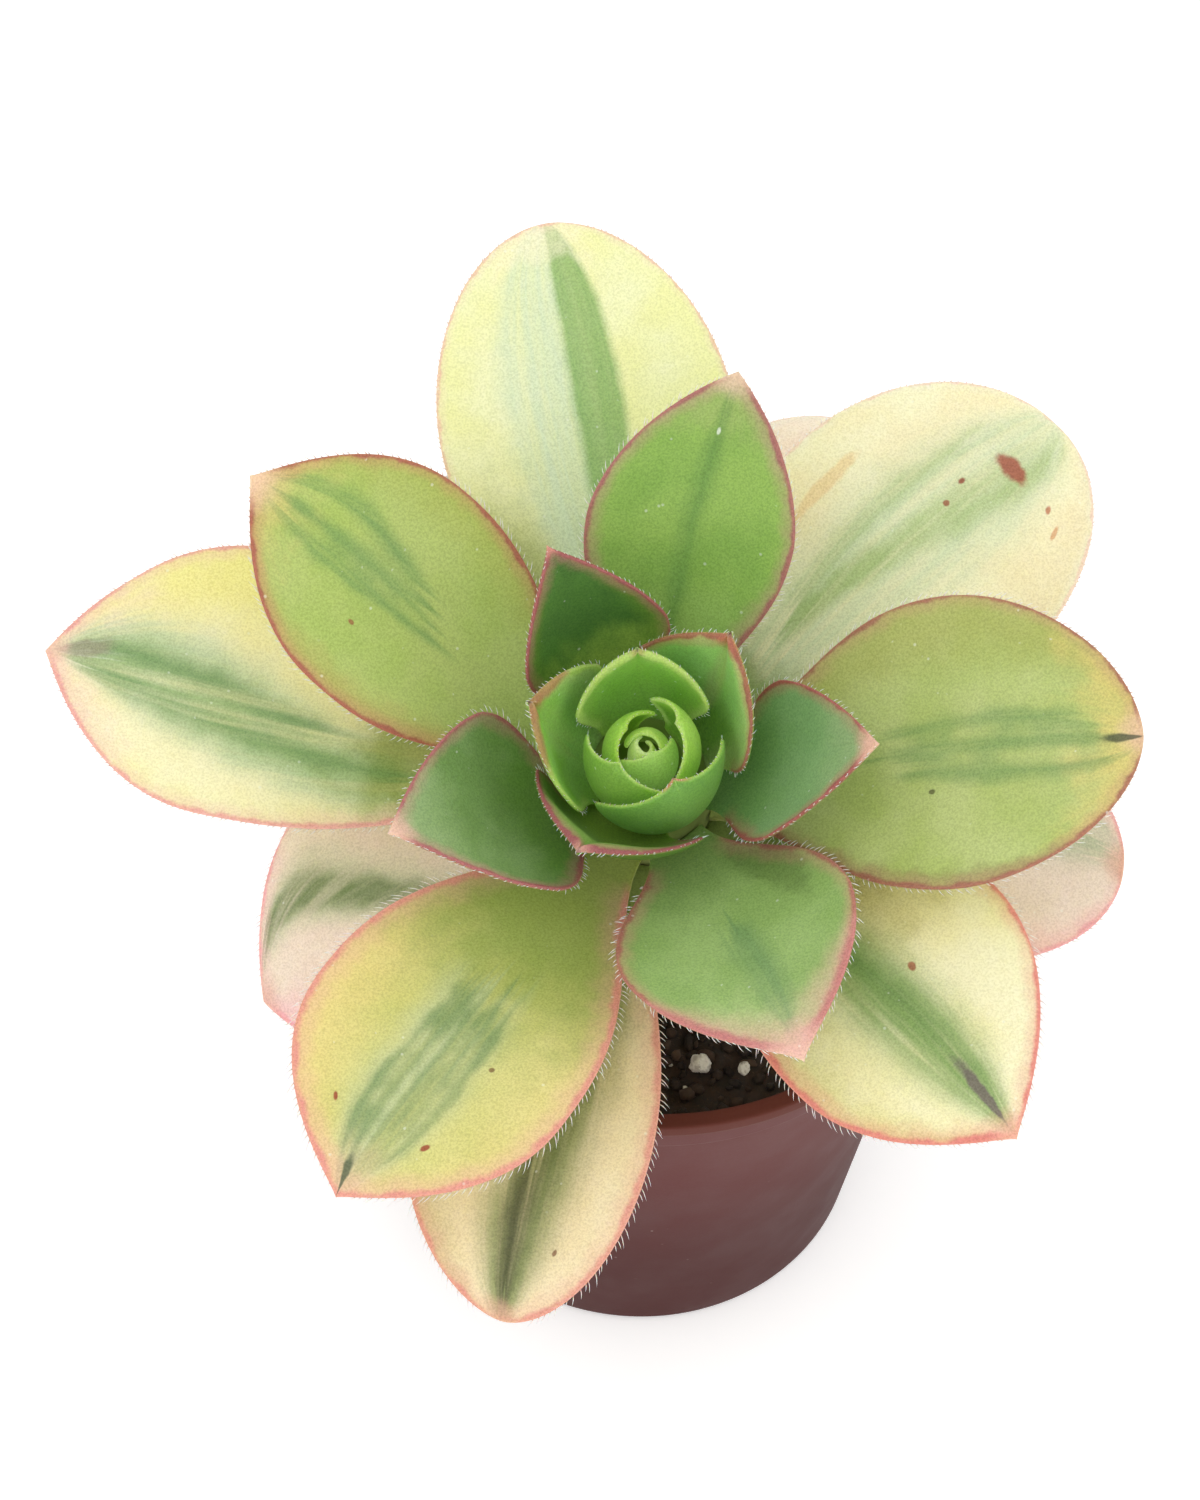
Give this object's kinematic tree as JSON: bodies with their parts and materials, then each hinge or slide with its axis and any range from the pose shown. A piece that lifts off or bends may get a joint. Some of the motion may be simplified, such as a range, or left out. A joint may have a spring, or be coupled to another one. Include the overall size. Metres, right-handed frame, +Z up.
{
  "type": "potted succulent",
  "caption": "Rosette succulent with broad variegated fleshy leaves on a short stem, growing in soil in a small tapered plastic nursery pot.",
  "frame": {"origin": "centre of the pot's flat underside", "axes": "+Z up along the pot's axis, -Y the front, towards which the rosette leans"},
  "size_m": [0.0984, 0.088, 0.0981],
  "materials": {
    "leaf_bud": "satin, fresh lime green with pale margins",
    "leaf_green": "satin, mid green with crimson margins",
    "leaf_striped": "satin, olive and yellow green with dark streaks",
    "leaf_cream": "satin, cream to pale pink with a green middle stripe",
    "stem_bark": "dry, ringed with leaf scars",
    "potting_soil": "crumbly and matt",
    "perlite": "chalky and porous",
    "pot_plastic": "satin moulded plastic"
  },
  "bodies": {
    "root": {"leaf_01": "leaf_bud", "leaf_02": "leaf_bud", "leaf_03": "leaf_bud", "leaf_04": "leaf_bud", "leaf_05": "leaf_bud", "leaf_06": "leaf_bud", "leaf_07": "leaf_bud", "leaf_08": "leaf_bud", "leaf_09": "leaf_bud", "leaf_10": "leaf_green", "leaf_11": "leaf_green", "leaf_12": "leaf_green", "leaf_13": "leaf_green", "leaf_14": "leaf_green", "leaf_15": "leaf_green", "leaf_16": "leaf_green", "leaf_17": "leaf_green", "leaf_18": "leaf_striped", "leaf_19": "leaf_striped", "leaf_20": "leaf_striped", "leaf_21": "leaf_cream", "leaf_22": "leaf_cream", "leaf_23": "leaf_cream", "leaf_24": "leaf_cream", "leaf_25": "leaf_cream", "leaf_26": "leaf_cream", "leaf_27": "leaf_cream", "leaf_28": "leaf_cream", "leaf_29": "leaf_cream", "stem": "stem_bark", "soil": "potting_soil", "pot": "pot_plastic", "perlite_01": "perlite", "perlite_02": "perlite", "perlite_03": "perlite", "perlite_04": "perlite", "perlite_05": "perlite", "perlite_06": "perlite"}
  },
  "joints": []
}
